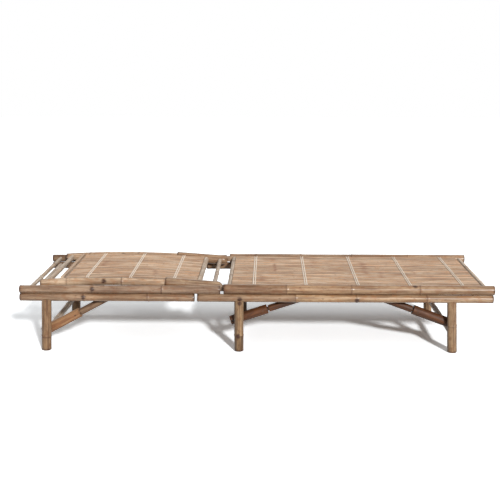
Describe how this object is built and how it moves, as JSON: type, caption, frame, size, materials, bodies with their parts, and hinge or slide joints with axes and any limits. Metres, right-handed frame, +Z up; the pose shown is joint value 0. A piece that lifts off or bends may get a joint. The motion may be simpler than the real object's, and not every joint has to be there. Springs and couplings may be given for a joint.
{
  "type": "bamboo sun lounger",
  "caption": "Low bamboo sun lounger: pole frame on legs, slatted mat tied with cord, and an arched backrest that lifts on a hinge over a folding prop.",
  "frame": {"origin": "on the floor under the middle of the lounger's length and width", "axes": "+X along the lounger towards the foot end, +Y across it, +Z up"},
  "size_m": [2, 0.6604, 0.308],
  "materials": {
    "rail_bamboo": "natural bamboo skin, satin",
    "leg_bamboo": "browner bamboo skin, satin",
    "brace_bamboo": "dark brown bamboo skin, matt",
    "rod_bamboo": "greyish bamboo rod, matt",
    "slat_bamboo": "split bamboo, satin",
    "cord_twine": "off-white twisted twine",
    "peg_wood": "dark cut bamboo, matt"
  },
  "bodies": {
    "seat_frame": {"seat_upper_rail_near": "rail_bamboo", "seat_upper_rail_far": "rail_bamboo", "seat_lower_rail_near": "rail_bamboo", "seat_lower_rail_far": "rail_bamboo", "mid_leg_near": "leg_bamboo", "mid_leg_far": "leg_bamboo", "foot_leg_near": "leg_bamboo", "foot_leg_far": "leg_bamboo", "mid_brace_rod_near": "brace_bamboo", "mid_brace_rod_far": "brace_bamboo", "mid_brace_tube_near": "brace_bamboo", "mid_brace_tube_far": "brace_bamboo", "foot_brace_rod_near": "brace_bamboo", "foot_brace_rod_far": "brace_bamboo", "foot_brace_tube_near": "brace_bamboo", "foot_brace_tube_far": "brace_bamboo", "seat_head_rod": "rod_bamboo", "seat_foot_rod": "rod_bamboo", "seat_support_rods": "rod_bamboo", "mid_stretcher": "rod_bamboo", "foot_stretcher": "rod_bamboo", "seat_slats": "slat_bamboo", "seat_cords": "cord_twine", "hinge_cheeks": "peg_wood", "seat_frame_dowels": "peg_wood", "seat_brace_pegs": "peg_wood", "hinge_pins": "peg_wood"},
    "backrest": {"backrest_rail_near": "rail_bamboo", "backrest_rail_far": "rail_bamboo", "hinge_sleeve_near": "rail_bamboo", "hinge_sleeve_far": "rail_bamboo", "backrest_head_rod": "rod_bamboo", "mat_head_rod": "rod_bamboo", "mat_foot_rod": "rod_bamboo", "gap_rod": "rod_bamboo", "backrest_support_rods": "rod_bamboo", "prop_pivot_rod": "rod_bamboo", "backrest_slats": "slat_bamboo", "mat_head_strip": "slat_bamboo", "backrest_cords": "cord_twine", "backrest_pegs": "peg_wood"},
    "head_stand": {"stand_upper_rail_near": "rail_bamboo", "stand_upper_rail_far": "rail_bamboo", "stand_lower_rail_near": "rail_bamboo", "stand_lower_rail_far": "rail_bamboo", "head_leg_near": "leg_bamboo", "head_leg_far": "leg_bamboo", "head_brace_rod_near": "brace_bamboo", "head_brace_rod_far": "brace_bamboo", "head_brace_tube_near": "brace_bamboo", "head_brace_tube_far": "brace_bamboo", "stand_end_rod": "rod_bamboo", "stand_catch_rod": "rod_bamboo", "head_stretcher": "rod_bamboo", "stand_pivot_pegs": "peg_wood", "stand_rest_pegs": "peg_wood", "stand_pegs": "peg_wood"},
    "prop": {"prop_arm_near": "rod_bamboo", "prop_arm_far": "rod_bamboo", "prop_foot_bar": "rod_bamboo"}
  },
  "joints": [
    {"name": "backrest_hinge", "type": "hinge", "parent": "seat_frame", "child": "backrest", "pos_m": [-0.165, 0, 0.27], "axis": [0, 1, 0], "range_deg": [0, 60]},
    {"name": "stand_hinge", "type": "hinge", "parent": "backrest", "child": "head_stand", "pos_m": [-0.262, 0, 0.272], "axis": [0, 1, 0], "range_deg": [-67.8, 0]},
    {"name": "prop_hinge", "type": "hinge", "parent": "backrest", "child": "prop", "pos_m": [-0.47, 0, 0.26698], "axis": [0, 1, 0], "range_deg": [-96.1, 0]}
  ],
  "couplings": [
    {"joint": "stand_hinge", "follows": "backrest_hinge", "ratio": -1.1288},
    {"joint": "prop_hinge", "follows": "backrest_hinge", "ratio": -1.6}
  ]
}
